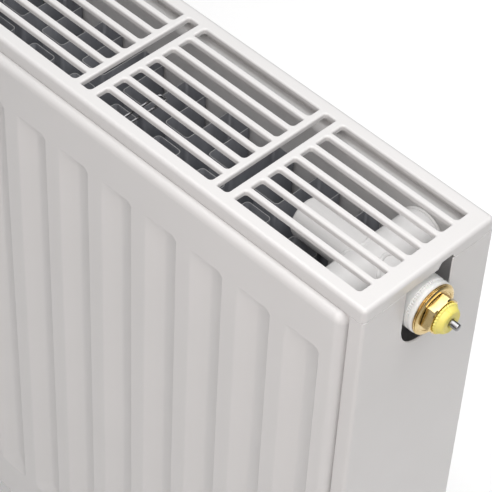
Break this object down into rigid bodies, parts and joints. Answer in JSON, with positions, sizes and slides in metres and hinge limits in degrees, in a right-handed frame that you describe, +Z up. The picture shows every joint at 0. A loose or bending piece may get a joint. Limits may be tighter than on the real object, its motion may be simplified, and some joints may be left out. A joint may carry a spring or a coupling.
{
  "type": "panel radiator",
  "caption": "Wall-hung steel panel radiator with two panels, convector fins, slotted top grille and a built-in valve behind the side cover",
  "frame": {"origin": "on the wall, at mid-length, at the height of the upper hanging lugs, in the plane of the lugs' wall faces", "axes": "+X along the radiator to its valve end, +Y towards the wall, +Z up"},
  "size_m": [0.5244, 0.111, 0.4],
  "materials": {
    "white_enamel": "smooth semi-gloss baked white paint",
    "fin_sheet": "primed grey sheet, satin",
    "white_plastic": "moulded, satin",
    "yellow_plastic": "moulded, satin",
    "brass": "machined",
    "steel": "bright turned steel",
    "seal_rubber": "smooth black"
  },
  "bodies": {
    "radiator": {"front_panel_outer_sheet": "white_enamel", "front_panel_inner_sheet": "white_enamel", "rear_panel_inner_sheet": "white_enamel", "rear_panel_outer_sheet": "white_enamel", "valve_tee": "white_enamel", "bottom_tee_right": "white_enamel", "top_tee_left": "white_enamel", "bottom_tee_left": "white_enamel", "riser_pipe": "white_enamel", "return_pipe": "white_enamel", "lug_upper_right": "white_enamel", "lug_upper_left": "white_enamel", "lug_lower_right": "white_enamel", "lug_lower_left": "white_enamel", "front_convector_right": "fin_sheet", "front_convector_mid_right": "fin_sheet", "front_convector_mid_left": "fin_sheet", "front_convector_left": "fin_sheet", "rear_convector_right": "fin_sheet", "rear_convector_mid_right": "fin_sheet", "rear_convector_mid_left": "fin_sheet", "rear_convector_left": "fin_sheet", "valve_collar": "white_plastic", "flow_nipple": "brass", "return_nipple": "brass", "insert_body": "brass", "gland_nut": "brass", "vent_plug": "brass", "valve_spring": "steel", "blanking_plug_left": "steel", "blanking_plug_right": "steel", "insert_seal": "seal_rubber", "gland_seal": "seal_rubber", "vent_plug_seal": "seal_rubber", "blanking_plug_left_seal": "seal_rubber", "blanking_plug_right_seal": "seal_rubber"},
    "grille": {"top_grille": "white_enamel", "grille_clip_left": "steel", "grille_clip_right": "steel"},
    "cover_right": {"side_cover_right": "white_enamel"},
    "cover_left": {"side_cover_left": "white_enamel"},
    "spindle": {"valve_spindle": "steel", "valve_disc": "seal_rubber"},
    "preset": {"preset_ring": "yellow_plastic"},
    "bleed": {"bleed_screw": "brass"},
    "nozzle": {"vent_nozzle": "white_plastic"}
  },
  "joints": [
    {"name": "grille_lift", "type": "slide", "parent": "radiator", "child": "grille", "axis": [0, 0, 1], "range_m": [0, 0.06]},
    {"name": "cover_right_pull", "type": "slide", "parent": "radiator", "child": "cover_right", "axis": [1, 0, 0], "range_m": [0, 0.04]},
    {"name": "cover_left_pull", "type": "slide", "parent": "radiator", "child": "cover_left", "axis": [-1, 0, 0], "range_m": [0, 0.04]},
    {"name": "valve_press", "type": "slide", "parent": "radiator", "child": "spindle", "axis": [-1, 0, 0], "range_m": [0, 0.0025], "stiffness_N_per_m": 6000, "springref_m": -0.003, "deforming": ["valve_spring"]},
    {"name": "preset_turn", "type": "hinge", "parent": "radiator", "child": "preset", "pos_m": [0.2617, -0.0595, 0.0315], "axis": [1, 0, 0], "range_deg": [0, 315]},
    {"name": "bleed_turn", "type": "hinge", "parent": "radiator", "child": "bleed", "pos_m": [-0.25, -0.0595, 0.0315], "axis": [-1, 0, 0], "range_deg": [0, 360]},
    {"name": "nozzle_turn", "type": "hinge", "parent": "radiator", "child": "nozzle", "pos_m": [-0.25, -0.0595, 0.0315], "axis": [-1, 0, 0], "continuous": true}
  ]
}
